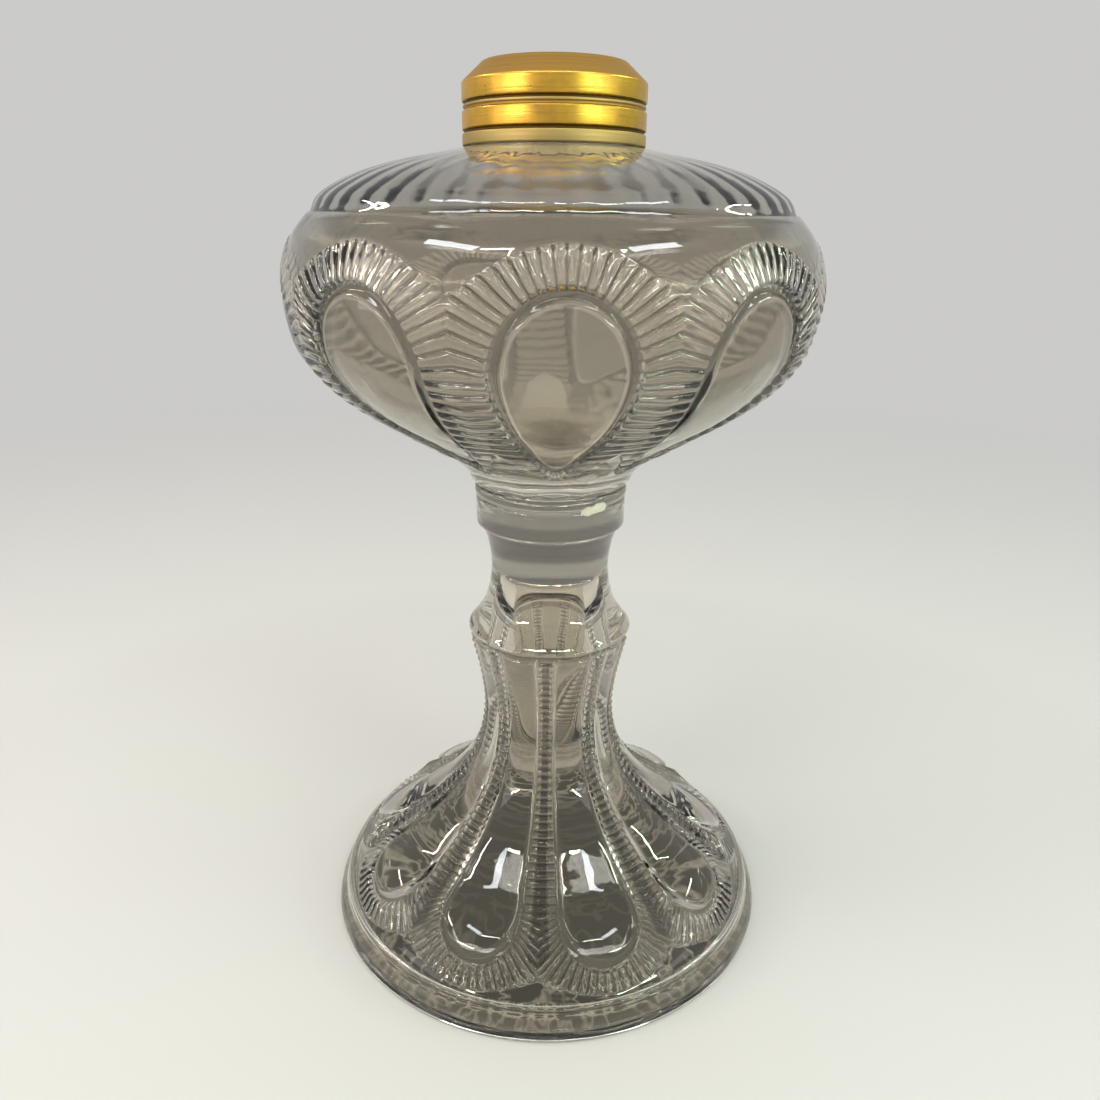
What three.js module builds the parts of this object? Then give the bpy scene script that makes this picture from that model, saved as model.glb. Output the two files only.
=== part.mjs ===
// A pressed-glass oil lamp: a pedestal, a joining wafer and a font of clear glass, under a brass screw
// collar that is bedded in plaster on the font's neck.
// Millimetres, +Z up, origin at the centre of the foot's rest face. Azimuth 0 faces -Y and grows towards +X.
import * as THREE from "three";

const { clamp, degToRad, lerp, smoothstep } = THREE.MathUtils;

// Heights of the pieces, from the table up
const pedestalHeight = 129.6;
const waferThickness = 3.1;
const bowlHeight = 83.3; // font's base to the collar's seat
const neckHeight = 11.6;
const collarHeight = 18.1;
const seatGap = 0.3; // between pieces that touch

const waferBase = pedestalHeight + seatGap;
const fontBase = waferBase + waferThickness + seatGap;
const bowlTop = fontBase + bowlHeight;
const collarBase = bowlTop + seatGap;

// Radii of the collar, from the thread outwards
const threadCrestRadius = 15.2;
const threadDepth = 0.75;
const threadPitch = 2.4;
const sleeveWall = 0.55; // outside the thread's root
const innerLeg = 0.6; // plaster between sleeve and neck
const neckWall = 2.2;
const outerLeg = 0.75; // plaster between neck and shell
const shellWall = 0.95;

const sleeveRadius = threadCrestRadius + threadDepth + sleeveWall;
const plasterBore = sleeveRadius + seatGap;
const neckBore = plasterBore + innerLeg + seatGap;
const neckRadius = neckBore + neckWall;
const plasterRadius = neckRadius + seatGap + outerLeg;
const shellBore = plasterRadius + seatGap;
const collarRadius = shellBore + shellWall;

// The pedestal's outline, from the rest face to the ring that carries the wafer
const footRadius = 66;
const footEdgeHeight = 2; // upright edge at the very bottom
const beadHeight = 7.6; // top of the rounded bead round the foot
const beadRadius = 62.7;
const waistRadius = 19.2;
const waistHeight = 64;
const skirtTop = 87; // where the pattern ends below the knop
const skirtTopRadius = 22.9;
const knopHeight = 90;
const knopRadius = 23.6;
const knopGroove = 0.7; // depth of the groove under the knop
const stemRadius = 16.6;
const stemHeight = 109;
const ringBase = 121.4;
const ringRadius = 20.6;
const ringEdge = 0.6; // rounding of the ring's edges
const waferRounding = 0.8;
const coveRadius = 19.3; // stem right under the ring

// The hollow under the pedestal
const restWidth = 4.5;
const footWall = 4.4;
const hollowHeight = 105.4;
const hollowRadius = 9;
const hollowEdge = 1.4;

// The font's outline and wall
const bowlRadius = 67.5;
const bowlBaseRadius = 21.3;
const shoulderHeight = 68.7; // line round the font where the fluted dome starts, above its base
const shoulderStep = 0.9; // dome's edge inside the band below it
const fontWall = 4;
const fontFloor = 8.6; // solid glass under the oil
const floorDish = 0.3; // floor's edge above its middle

// The pattern: loops round the font and round the foot, each a smooth drop in a channel with a fringe
const loopCount = 9;
const loopHalf = 180 / loopCount; // degrees from a loop's centre line to its side
const fontTurn = 2.3; // azimuth of the loop that faces the viewer
const footTurn = 17.7;
const plainColumns = 10; // columns of points across a loop where the glass is plain or fluted
const plainCount = loopCount * plainColumns;
const hiddenCount = plainCount / 2; // columns round the hidden surfaces and the stem
const dropCrown = 0.8; // the drop's middle stands this far above its edge
const dropEdgeDepth = 0.8; // its edge lies this far below the crests of the ribs round it
const channelDepth = 2;
const bandDepth = 0.3; // plain band below the crests of the ribs
const ribDepth = 1.1; // from the crest of a rib to the valley beside it
const scallopStep = 0.8; // length of the slope from the fringe up to the plain band
const fluteDepth = 0.7;

// Ribs of a font loop: in the column at its side, below and above its middle, over its head and under its
// tail. The corners between them lie in these directions from the level line through the loop's middle.
const lowColumnRibs = 9;
const highColumnRibs = 5;
const headRibs = 16;
const tailRibs = 10;
const lowCorner = degToRad(45);
const highCorner = degToRad(37.5);
const weakestTailShare = 0.3; // the tail's ribs fade towards the loop's centre line
const ribSteps = 2; // a valley and a crest

// Ribs of half a foot loop: down its side, then round its end to the next loop's and on to its middle
const rungCount = 34;
const flankRibs = 6;
const endRibs = 8;
const footCorner = degToRad(30);

// A font loop, in heights above the font's base and half widths in degrees
const loopMiddle = 36.7;
const dropRise = 16;
const dropFall = 25.5;
const channelWidth = 3; // at the loop's head and tail
const dropHalfTurn = 11.1;
const channelHalfTurn = 13.8;
const junctionHeight = 54.5; // where the fringes of two loops meet
const fringeArch = 9.5; // fringe's head over the junction
const columnFoot = 16.5; // lower end of the ribbed column between two loops
const tailArch = 9.8;

// A foot loop, whose drop has its round end at the foot and runs up to the knop
const ballHeight = 24; // where the drop's sides run straight up
const ballBottom = 15.3;
const ballChannelBottom = 13;
const petalHalfTurn = 12.2;
const petalChannelHalfTurn = 14.8;
const petalFringeHeight = 9.2; // fringe's outer edge on the loop's centre line
const petalJunctionHeight = 13.3;
const petalSwell = 2.6; // the loops' round ends bulge out of the foot
const swellHeight = 17;
const swellTop = 27;
const slimReliefShare = 0.4; // relief where the foot is slimmest, as a share of the full relief
const fullReliefShare = 0.7; // share of the foot's radius from which the relief is full

// A smooth curve of radius against height through a few points [height, radius]
function smoothOutline(points) {
  const slopes = points.map((point, i) => {
    const before = points[Math.max(i - 1, 0)];
    const after = points[Math.min(i + 1, points.length - 1)];
    return (after[1] - before[1]) / (after[0] - before[0]);
  });
  return (height) => {
    let i = points.findIndex((point) => point[0] > height) - 1;
    if (i < 0) i = height < points[0][0] ? 0 : points.length - 2;
    const [h0, r0] = points[i];
    const [h1, r1] = points[i + 1];
    const span = h1 - h0;
    const t = clamp((height - h0) / span, 0, 1);
    const blend = t * t * (3 - 2 * t);
    const bend = t * (1 - t) * span;
    return r0 + (r1 - r0) * blend + bend * (slopes[i] * (1 - t) - slopes[i + 1] * t);
  };
}

// Outline points at shares of the way from one [height, radius] to another
function pointsBetween(from, to, shares) {
  return shares.map(([up, out]) => [lerp(from[0], to[0], up), lerp(from[1], to[1], out)]);
}

const slopeShare = 0.001; // step over which a slope is measured, as a share of the outline's span

// A point at an azimuth on an outline, moved out along the outline's normal by relief
function onOutline(outline, azimuth, height, relief, span) {
  const step = span * slopeShare;
  const lean = (outline(height + step) - outline(height - step)) / (2 * step);
  const length = Math.hypot(1, lean);
  const radius = outline(height) + relief / length;
  const turn = degToRad(azimuth);
  const lift = (-relief * lean) / length;
  return new THREE.Vector3(radius * Math.sin(turn), -radius * Math.cos(turn), height + lift);
}

// Radius and height of a point on the inner side of a wall
function offsetInwards(outline, height, wall, span) {
  const point = onOutline(outline, 90, height, -wall, span);
  return [point.x, point.z];
}

// A level row of points round the axis from a first azimuth on
function levelRow(count, radius, height, firstTurn = 0) {
  return Array.from({ length: count }, (_, i) => {
    const turn = degToRad(firstTurn) + (2 * Math.PI * i) / count;
    return new THREE.Vector3(radius * Math.sin(turn), -radius * Math.cos(turn), height);
  });
}

// Heights at even steps along an outline's surface, both ends included
function evenHeights(outline, start, end, count) {
  const measureSteps = 200;
  const heights = Array.from({ length: measureSteps + 1 }, (_, i) => lerp(start, end, i / measureSteps));
  const reach = [0];
  for (let i = 1; i <= measureSteps; i++) {
    const rise = heights[i] - heights[i - 1];
    reach.push(reach[i - 1] + Math.hypot(rise, outline(heights[i]) - outline(heights[i - 1])));
  }
  const steps = Array.from({ length: count - 1 }, (_, i) => {
    const target = (reach[measureSteps] * (i + 1)) / count;
    const next = reach.findIndex((value) => value >= target);
    const share = (target - reach[next - 1]) / (reach[next] - reach[next - 1]);
    return lerp(heights[next - 1], heights[next], share);
  });
  return [start, ...steps, end];
}

// A skin of strips between rows of points. Seen from outside, a strip's second row is on the left of its
// first. The rows' counts may differ: each next triangle takes a step on the row that is behind.
class Skin {
  corners = [];

  face(a, b, c) {
    if (a.equals(b) || b.equals(c) || c.equals(a)) return;
    this.corners.push(a, b, c);
  }

  strip(first, second) {
    const firstSteps = first.length - 1;
    const secondSteps = second.length - 1;
    let i = 0;
    let j = 0;
    while (i < firstSteps || j < secondSteps) {
      const firstBehind = (2 * i + 1) * secondSteps <= (2 * j + 1) * firstSteps;
      if (firstBehind) {
        this.face(first[i], first[i + 1], second[j]);
        i += 1;
      } else {
        this.face(second[j + 1], second[j], first[i]);
        j += 1;
      }
    }
  }

  // Strips round the axis through closed rows
  bands(rows) {
    const closed = rows.map((row) => [...row, row[0]]);
    for (let i = 1; i < closed.length; i++) this.strip(closed[i - 1], closed[i]);
  }

  geometry() {
    const geometry = new THREE.BufferGeometry().setFromPoints(this.corners);
    geometry.computeVertexNormals();
    return geometry;
  }
}

// A place in a loop has height, relief and across, from -1 at the loop's left side to 1 at its right
// side. Neighbouring loops share the points of their sides.
function loopPoint(outline, middleTurn, span, loop, place) {
  const halves = (2 * (loop + loopCount) + place.across) % (2 * loopCount);
  return onOutline(outline, middleTurn + loopHalf * halves, place.height, place.relief, span);
}

// A row round the axis that repeats a loop's places
function patternRow(outline, middleTurn, span, places) {
  const loops = Array.from({ length: loopCount }, (_, loop) => loop);
  const single = places.slice(0, -1);
  return loops.flatMap((loop) => single.map((place) => loopPoint(outline, middleTurn, span, loop, place)));
}

function addLoops(skin, outline, middleTurn, span, rings) {
  for (let loop = 0; loop < loopCount; loop++) {
    const rows = rings.map((ring) => ring.map((place) => loopPoint(outline, middleTurn, span, loop, place)));
    for (let i = 1; i < rows.length; i++) skin.strip(rows[i - 1], rows[i]);
  }
}

// Places across a loop where the pattern is plain
function plainPlaces(heightAt, reliefAt) {
  return Array.from({ length: plainColumns + 1 }, (_, column) => {
    const across = (2 * column) / plainColumns - 1;
    return { across, height: heightAt(across), relief: reliefAt(column) };
  });
}

function mixPlaces(a, b, share) {
  return { across: lerp(a.across, b.across, share), height: lerp(a.height, b.height, share) };
}

// The rings of a loop, from its side in to its middle, for samples with a place on each main line and the
// relief of their rib. A ring's share, from 1 at the side to 0 in the middle, is kept for the swelling.
const edgeShare = 0.8;
const floorShare = 0.6;
const dropShare = 0.4;
const innerDropShare = 0.58; // the ring inside the drop, on the way from its middle to its edge
const channelShare = 0.5; // the channel's deepest line, on its way from the drop to the fringe
const smoothSpacing = 4; // the smooth rings have one point to this many of the ribs'

function loopRings(samples) {
  const spaced = samples.filter((_, i) => i % smoothSpacing === 0);
  const innerCrown = dropCrown * (1 - innerDropShare ** 2);
  return [
    samples.map(({ side, rib }) => ({ ...side, relief: rib, ring: 1 })),
    samples.map(({ channel, rib }) => ({ ...channel, relief: rib, ring: edgeShare })),
    spaced.map(({ drop, channel }) => {
      return { ...mixPlaces(drop, channel, channelShare), relief: -channelDepth, ring: floorShare };
    }),
    spaced.map(({ drop }) => ({ ...drop, relief: -dropEdgeDepth, ring: dropShare })),
    spaced.map(({ middle, drop }) => {
      const place = mixPlaces(middle, drop, innerDropShare);
      return { ...place, relief: innerCrown - dropEdgeDepth, ring: dropShare * innerDropShare };
    }),
    spaced.map(({ middle }) => ({ ...middle, relief: dropCrown - dropEdgeDepth, ring: 0 })),
  ];
}

// Relief on the line of a rib: every other line is a valley
function ribRelief(step, strength) {
  return step % ribSteps === 0 ? -ribDepth * strength : 0;
}

const quarterTurn = Math.PI / 2;

// Font
function archHeight(across, ends, arch) {
  return fontBase + ends + arch * Math.cos(quarterTurn * across);
}

const headHeight = (across) => archHeight(across, junctionHeight, fringeArch);
const tailHeight = (across) => archHeight(across, columnFoot, -tailArch);

// Samples of the column at a loop's right side between its corners, from below
function fontColumn(outline) {
  const middle = fontBase + loopMiddle;
  const lowSteps = ribSteps * lowColumnRibs;
  const highSteps = ribSteps * highColumnRibs;
  const low = evenHeights(outline, fontBase + columnFoot, middle, lowSteps);
  const high = evenHeights(outline, middle, fontBase + junctionHeight, highSteps);
  const heights = [...low, ...high.slice(1)];
  const samples = heights.map((height, i) => {
    const lowAngle = lowCorner * (i / lowSteps - 1);
    const highAngle = (highCorner * (i - lowSteps)) / highSteps;
    return { side: { across: 1, height }, angle: i < lowSteps ? lowAngle : highAngle, rib: ribRelief(i, 1) };
  });
  return samples.slice(1, -1);
}

// Samples over a loop's head or under its tail, from its left to its right, both corners included
function fontArch(heightAt, ribs, weakest, angleAt) {
  const steps = ribSteps * ribs;
  return Array.from({ length: steps + 1 }, (_, i) => {
    const across = (2 * i) / steps - 1;
    const corner = i === 0 || i === steps;
    const rib = corner ? -bandDepth : ribRelief(i, lerp(weakest, 1, Math.abs(across)));
    return { side: { across, height: heightAt(across) }, angle: angleAt(across), rib };
  });
}

// Samples round a loop against the clock from its lower left corner, with the first one again at the end
function fontSamples(outline) {
  const right = fontColumn(outline);
  const left = right.map(({ side, angle, rib }) => {
    return { side: { across: -1, height: side.height }, angle: Math.PI - angle, rib };
  });
  const tailAngle = (across) => (quarterTurn - lowCorner) * across - quarterTurn;
  const headAngle = (across) => quarterTurn - (quarterTurn - highCorner) * across;
  const tail = fontArch(tailHeight, tailRibs, weakestTailShare, tailAngle);
  const head = fontArch(headHeight, headRibs, 1, headAngle);
  const middle = { across: 0, height: fontBase + loopMiddle };
  const samples = [...tail, ...right, ...head.reverse(), ...left.reverse(), tail[0]];
  return samples.map(({ side, angle, rib }) => {
    const sine = Math.sin(angle);
    const reach = sine > 0 ? dropRise : dropFall;
    const ringPlace = (halfTurn, widening) => {
      const height = middle.height + (reach + widening) * sine;
      return { across: (halfTurn / loopHalf) * Math.cos(angle), height };
    };
    const drop = ringPlace(dropHalfTurn, 0);
    const channel = ringPlace(channelHalfTurn, channelWidth);
    return { side, channel, drop, middle, rib };
  });
}

function fontOutline() {
  // Shares of the bowl's height, and of the way from its base radius to its widest
  const shares = [
    [0, 0],
    [0.056, 0.056],
    [0.1, 0.15],
    [0.15, 0.3],
    [0.2, 0.443],
    [0.27, 0.643],
    [0.345, 0.806],
    [0.43, 0.927],
    [0.515, 0.978],
    [0.61, 1],
    [0.695, 0.976],
    [0.765, 0.922],
    [0.825, 0.835],
    [0.885, 0.73],
    [0.945, 0.48],
  ];
  const points = pointsBetween([fontBase, bowlBaseRadius], [bowlTop, bowlRadius], shares);
  points.push([bowlTop, collarRadius]);
  return smoothOutline(points);
}

function fluteRelief(column, envelope) {
  const ridge = column % 2 ? 1 : -1;
  return (fluteDepth / 2) * (envelope * ridge - 1) - shoulderStep * (1 - envelope);
}

function makeFont() {
  const outline = fontOutline();
  const firstTurn = fontTurn - loopHalf;
  const level = (count, radius, height) => levelRow(count, radius, height, firstTurn);
  const patterned = (places) => patternRow(outline, fontTurn, bowlHeight, places);
  const plainRow = (heightAt, relief) => patterned(plainPlaces(heightAt, () => relief));
  const rings = loopRings(fontSamples(outline));
  const skin = new Skin();
  addLoops(skin, outline, fontTurn, bowlHeight, rings);

  // Plain root of the bowl, up to the loops' tails
  const tailSteps = ribSteps * tailRibs;
  const rootShare = 0.5;
  const root = [level(hiddenCount, 0, fontBase), level(hiddenCount, bowlBaseRadius, fontBase)];
  root.push(plainRow((across) => lerp(fontBase, tailHeight(across), rootShare), 0));
  root.push(plainRow((across) => tailHeight(across) - scallopStep, -bandDepth));
  root.push(patterned(rings[0].slice(0, tailSteps + 1)));
  skin.bands(root);

  // Plain band between the fringes and the shoulder
  const columnSteps = ribSteps * (lowColumnRibs + highColumnRibs);
  const headStart = tailSteps + columnSteps;
  const headEnd = headStart + ribSteps * headRibs;
  const shoulder = fontBase + shoulderHeight;
  const rows = [patterned(rings[0].slice(headStart, headEnd + 1).reverse())];
  const bandShares = [0, 0.5, 1];
  for (const share of bandShares) {
    rows.push(plainRow((across) => lerp(headHeight(across) + scallopStep, shoulder, share), -bandDepth));
  }

  // Fluted dome, with the flutes' strength at each level as a share
  const domeShares = [
    [0.03, 0.3],
    [0.18, 1],
    [0.42, 1],
    [0.66, 1],
    [0.85, 0.5],
  ];
  for (const [up, envelope] of domeShares) {
    const height = lerp(shoulder, bowlTop, up);
    rows.push(patterned(plainPlaces(() => height, (column) => fluteRelief(column, envelope))));
  }

  // Seat of the collar, and the neck
  const neckTop = bowlTop + neckHeight;
  rows.push(level(plainCount, collarRadius, bowlTop));
  rows.push(level(hiddenCount, neckRadius, bowlTop));
  rows.push(level(hiddenCount, neckRadius, neckTop));
  rows.push(level(hiddenCount, neckBore, neckTop));

  // Inside, from the neck down to the floor
  rows.push(level(hiddenCount, neckBore, bowlTop));
  const insideShares = [0.95, 0.86, 0.72, 0.55, 0.38, 0.24, 0.14];
  for (const share of insideShares) {
    const height = fontBase + bowlHeight * share;
    const [radius, inner] = offsetInwards(outline, height, fontWall, bowlHeight);
    rows.push(level(hiddenCount, radius, inner));
  }
  const floor = fontBase + fontFloor;
  rows.push(level(hiddenCount, neckBore, floor + floorDish));
  rows.push(level(hiddenCount, 0, floor));
  skin.bands(rows);
  return skin.geometry();
}

// Pedestal
function skirtOutline() {
  // Shares of the height from the bead to the waist, and of the way from the waist to the bead
  const shares = [
    [0.07, 0.93],
    [0.22, 0.722],
    [0.36, 0.497],
    [0.5, 0.287],
    [0.64, 0.141],
    [0.79, 0.046],
  ];
  const flareShares = [[0.5, 0.3]];
  return smoothOutline([
    [0, footRadius],
    [footEdgeHeight, footRadius],
    [beadHeight, beadRadius],
    ...pointsBetween([beadHeight, waistRadius], [waistHeight, beadRadius], shares),
    [waistHeight, waistRadius],
    ...pointsBetween([waistHeight, waistRadius], [skirtTop, skirtTopRadius], flareShares),
    [skirtTop, skirtTopRadius],
  ]);
}

function stemOutline() {
  const knopShares = [
    [0.13, 0.74],
    [0.35, 0.36],
    [0.65, 0.1],
  ];
  const coveShares = [[0.6, 0.35]];
  return smoothOutline([
    [skirtTop + knopGroove, skirtTopRadius - knopGroove],
    [skirtTop + 2 * knopGroove, skirtTopRadius],
    [knopHeight, knopRadius],
    ...pointsBetween([knopHeight, stemRadius], [stemHeight, knopRadius], knopShares),
    [stemHeight, stemRadius],
    ...pointsBetween([stemHeight, stemRadius], [ringBase, coveRadius], coveShares),
    [ringBase, coveRadius],
  ]);
}

// Relief on the skirt: shallower where it is slim, and swelling at the loops' round ends
function onSkirt(outline, place) {
  const slimness = Math.min(outline(place.height) / (footRadius * fullReliefShare), 1);
  const strength = lerp(slimReliefShare, 1, slimness);
  const rising = smoothstep(place.height, petalFringeHeight, swellHeight);
  const falling = 1 - smoothstep(place.height, swellHeight, swellTop);
  const swell = petalSwell * rising * falling * (1 - place.ring ** 2);
  return { ...place, relief: strength * place.relief + swell };
}

// Samples down the right side of a foot loop and round its end to its centre line
function footHalfSamples(outline) {
  const rungSteps = ribSteps * rungCount;
  const flankSteps = ribSteps * flankRibs;
  const endSteps = ribSteps * endRibs;
  const straight = evenHeights(outline, skirtTop, ballHeight, rungSteps).map((height, i) => ({
    side: { across: 1, height },
    channel: { across: petalChannelHalfTurn / loopHalf, height },
    drop: { across: petalHalfTurn / loopHalf, height },
    middle: { across: 0, height },
    rib: ribRelief(i, 1),
  }));
  const bend = Array.from({ length: flankSteps + endSteps }, (_, i) => {
    const step = i + 1;
    const onFlank = step <= flankSteps;
    const part = onFlank ? step / flankSteps : (step - flankSteps) / endSteps;
    const angle = onFlank ? footCorner * part : lerp(footCorner, quarterTurn, part);
    const bendPlace = (halfTurn, bottom) => ({
      across: (halfTurn / loopHalf) * Math.cos(angle),
      height: lerp(ballHeight, bottom, Math.sin(angle)),
    });
    const across = onFlank ? 1 : 1 - part;
    const arch = Math.cos(quarterTurn * across);
    const endHeight = lerp(petalJunctionHeight, petalFringeHeight, arch);
    return {
      side: { across, height: onFlank ? lerp(ballHeight, petalJunctionHeight, part) : endHeight },
      channel: bendPlace(petalChannelHalfTurn, ballChannelBottom),
      drop: bendPlace(petalHalfTurn, ballBottom),
      middle: { across: 0, height: ballHeight },
      rib: step === flankSteps ? -bandDepth : ribRelief(step, 1),
    };
  });
  return [...straight, ...bend];
}

// Samples down a loop's left side, round its end and up its right side
function footSamples(outline) {
  const right = footHalfSamples(outline);
  const mirrored = ({ across, height }) => ({ across: -across, height });
  const left = right.slice(0, -1).map(({ side, channel, drop, middle, rib }) => {
    return { side: mirrored(side), channel: mirrored(channel), drop: mirrored(drop), middle, rib };
  });
  return [...left, ...right.reverse()];
}

function makePedestal() {
  const skirt = skirtOutline();
  const stem = stemOutline();
  const firstTurn = footTurn - loopHalf;
  const level = (count, radius, height) => levelRow(count, radius, height, firstTurn);
  const patterned = (places) => patternRow(skirt, footTurn, skirtTop, places);
  const samples = footSamples(skirt);
  const rings = loopRings(samples).map((ring) => ring.map((place) => onSkirt(skirt, place)));
  const skin = new Skin();
  addLoops(skin, skirt, footTurn, skirtTop, rings);

  // The hollow, from its flat roof down to the rest ring
  const rows = [level(hiddenCount, 0, hollowHeight)];
  rows.push(level(hiddenCount, hollowRadius - hollowEdge, hollowHeight));
  rows.push(level(hiddenCount, hollowRadius, hollowHeight - hollowEdge));
  const waistBore = waistRadius - footWall;
  const throatShares = [
    [0.6, 0.45],
    [0, 1],
  ];
  const throat = pointsBetween([waistHeight, hollowRadius], [hollowHeight, waistBore], throatShares);
  for (const [height, radius] of throat) rows.push(level(hiddenCount, radius, height));
  const hollowShares = [0.78, 0.58, 0.4, 0.24, 0.12];
  for (const share of hollowShares) {
    const [radius, inner] = offsetInwards(skirt, waistHeight * share, footWall, skirtTop);
    rows.push(level(hiddenCount, radius, inner));
  }
  rows.push(level(hiddenCount, footRadius - restWidth, 0));

  // The rim, and the plain skirt up to the fringes
  rows.push(level(plainCount, footRadius, 0));
  rows.push(level(plainCount, footRadius, footEdgeHeight));
  const rimShares = [0.55, 1];
  for (const share of rimShares) {
    const height = lerp(footEdgeHeight, beadHeight, share);
    rows.push(level(plainCount, skirt(height), height));
  }
  const cornerStep = ribSteps * (rungCount + flankRibs);
  rows.push(patterned(rings[0].slice(cornerStep, samples.length - cornerStep)));
  skin.bands(rows);

  // The knop and the stem, above the tops of the loops
  const topPlaces = rings.map((ring) => ring[0]);
  const farPlaces = rings.slice(0, -1).map((ring) => ring[ring.length - 1]);
  const upper = [patterned([...topPlaces, ...farPlaces.reverse()])];
  const grooveHeight = skirtTop + knopGroove;
  upper.push(level(plainCount, stem(grooveHeight), grooveHeight));
  const stemLevels = [skirtTop + 2 * knopGroove, knopHeight];
  const stemShares = [0.07, 0.15, 0.35, 0.65, 1];
  for (const share of stemShares) stemLevels.push(lerp(knopHeight, stemHeight, share));
  const coveShares = [0.5, 0.8, 1];
  for (const share of coveShares) stemLevels.push(lerp(stemHeight, ringBase, share));
  for (const height of stemLevels) upper.push(level(hiddenCount, stem(height), height));

  // The ring under the wafer
  upper.push(level(hiddenCount, ringRadius, ringBase + ringEdge));
  upper.push(level(hiddenCount, ringRadius, pedestalHeight - ringEdge));
  upper.push(level(hiddenCount, ringRadius - ringEdge, pedestalHeight));
  upper.push(level(hiddenCount, 0, pedestalHeight));
  skin.bands(upper);
  return skin.geometry();
}

// Pieces turned on the axis, from profiles of [radius, height]
function turned(profile, segments) {
  const points = profile.map(([radius, height]) => new THREE.Vector2(radius, height));
  const geometry = new THREE.LatheGeometry(points, segments);
  geometry.rotateX(quarterTurn);
  return geometry;
}

const turnedSegments = 36;

function makeWafer() {
  const waferRadius = ringRadius + seatGap;
  const top = waferBase + waferThickness;
  return turned(
    [
      [0, waferBase],
      [waferRadius - waferRounding, waferBase],
      [waferRadius, waferBase + waferRounding],
      [waferRadius, top - waferRounding],
      [waferRadius - waferRounding, top],
      [0, top],
    ],
    turnedSegments,
  );
}

// Collar shell: heights above its lower edge
const lowerBandTop = 2.7;
const lowerGrooveTop = 3.3;
const middleBandTop = 7.6;
const ledgeBase = 8.3;
const ledgeTop = 8.8;
const upperBandBase = 9.4;
const upperBandTop = 13.7;
const grooveDepth = 0.5;
const ledgeDepth = 0.25;
const bandEdge = 0.12; // chamfer of the bands
const lipWidth = 1.4;
const lipThickness = 0.8;
const lipRounding = 0.5;
const lipBore = threadCrestRadius + threadDepth;
const lipRadius = lipBore + lipWidth;

function makeCollarShell() {
  const groove = collarRadius - grooveDepth;
  const ledge = collarRadius - ledgeDepth;
  const outside = [
    [collarRadius, 0],
    [collarRadius, lowerBandTop - bandEdge],
    [groove, lowerBandTop],
    [groove, lowerGrooveTop],
    [collarRadius, lowerGrooveTop + bandEdge],
    [collarRadius, middleBandTop - bandEdge],
    [groove, middleBandTop],
    [groove, ledgeBase - bandEdge],
    [ledge, ledgeBase],
    [ledge, ledgeTop],
    [groove, ledgeTop + bandEdge],
    [groove, upperBandBase],
    [collarRadius, upperBandBase + bandEdge],
    [collarRadius, upperBandTop],
    [lipRadius + lipRounding, collarHeight - lipRounding],
    [lipRadius, collarHeight],
    [lipBore, collarHeight],
  ];
  const inside = [
    [lipBore, collarHeight - lipThickness],
    [lipRadius, collarHeight - lipThickness],
    [shellBore, upperBandTop - bandEdge],
    [shellBore, 0],
    [collarRadius, 0],
  ];
  const profile = [...outside, ...inside].map(([radius, height]) => [radius, collarBase + height]);
  return turned(profile, turnedSegments);
}

// Threaded sleeve: a tube with a helical thread rolled into its bore
const sleeveDrop = 0.6; // sleeve's lower end above the collar's
const sleeveColumns = 30;
const rowsPerPitch = 3;

function makeSleeve() {
  const base = collarBase + sleeveDrop;
  const top = collarBase + collarHeight - lipThickness - seatGap;
  const length = top - base;
  const rowCount = Math.round((length / threadPitch) * rowsPerPitch);
  const fade = threadPitch / length;
  const rows = [levelRow(sleeveColumns, sleeveRadius, base), levelRow(sleeveColumns, sleeveRadius, top)];
  for (let row = rowCount; row >= 0; row--) {
    const share = row / rowCount;
    const height = lerp(base, top, share);
    const strength = Math.min(share / fade, (1 - share) / fade, 1);
    const ring = levelRow(sleeveColumns, 1, height).map((point, column) => {
      const phase = (height - base) / threadPitch - column / sleeveColumns;
      const depth = threadDepth * strength * (0.5 - 0.5 * Math.cos(2 * Math.PI * phase));
      const radius = threadCrestRadius + depth;
      return new THREE.Vector3(point.x * radius, point.y * radius, height);
    });
    rows.push(ring);
  }
  const skin = new Skin();
  skin.bands([...rows, rows[0]]);
  return skin.geometry();
}

// Bedding plaster: fills the collar round the neck, as an upturned channel
const plasterDrop = 0.5; // plaster's lower edge above the collar's

function makePlaster() {
  const base = collarBase + plasterDrop;
  const neckTop = bowlTop + neckHeight + seatGap;
  const top = neckTop + innerLeg;
  return turned(
    [
      [plasterRadius, base],
      [plasterRadius, top],
      [plasterBore, top],
      [plasterBore, base],
      [neckBore - seatGap, base],
      [neckBore - seatGap, neckTop],
      [neckRadius + seatGap, neckTop],
      [neckRadius + seatGap, base],
      [plasterRadius, base],
    ],
    turnedSegments,
  );
}

const clearGlass = { color: 0xd5d6cb, roughness: 0.06, metalness: 0, transparent: true, opacity: 0.4 };
const yellowBrass = { color: 0xc79a3a, roughness: 0.32, metalness: 1 };
const innerBrass = { color: 0x9c7630, roughness: 0.45, metalness: 1 };
const whitePlaster = { color: 0xd8d0c0, roughness: 0.95, metalness: 0 };

const lamp = new THREE.Group();

function addPiece(name, geometry, finish) {
  const mesh = new THREE.Mesh(geometry, new THREE.MeshStandardMaterial(finish));
  mesh.name = name;
  lamp.add(mesh);
}

addPiece("glass_pedestal", makePedestal(), clearGlass);
addPiece("joining_wafer", makeWafer(), clearGlass);
addPiece("glass_font", makeFont(), clearGlass);
addPiece("collar_shell", makeCollarShell(), yellowBrass);
addPiece("threaded_sleeve", makeSleeve(), innerBrass);
addPiece("bedding_plaster", makePlaster(), whitePlaster);

export default lamp;
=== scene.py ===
import math

import bmesh
import bpy
import numpy as np
from mathutils import Matrix, Vector


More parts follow.
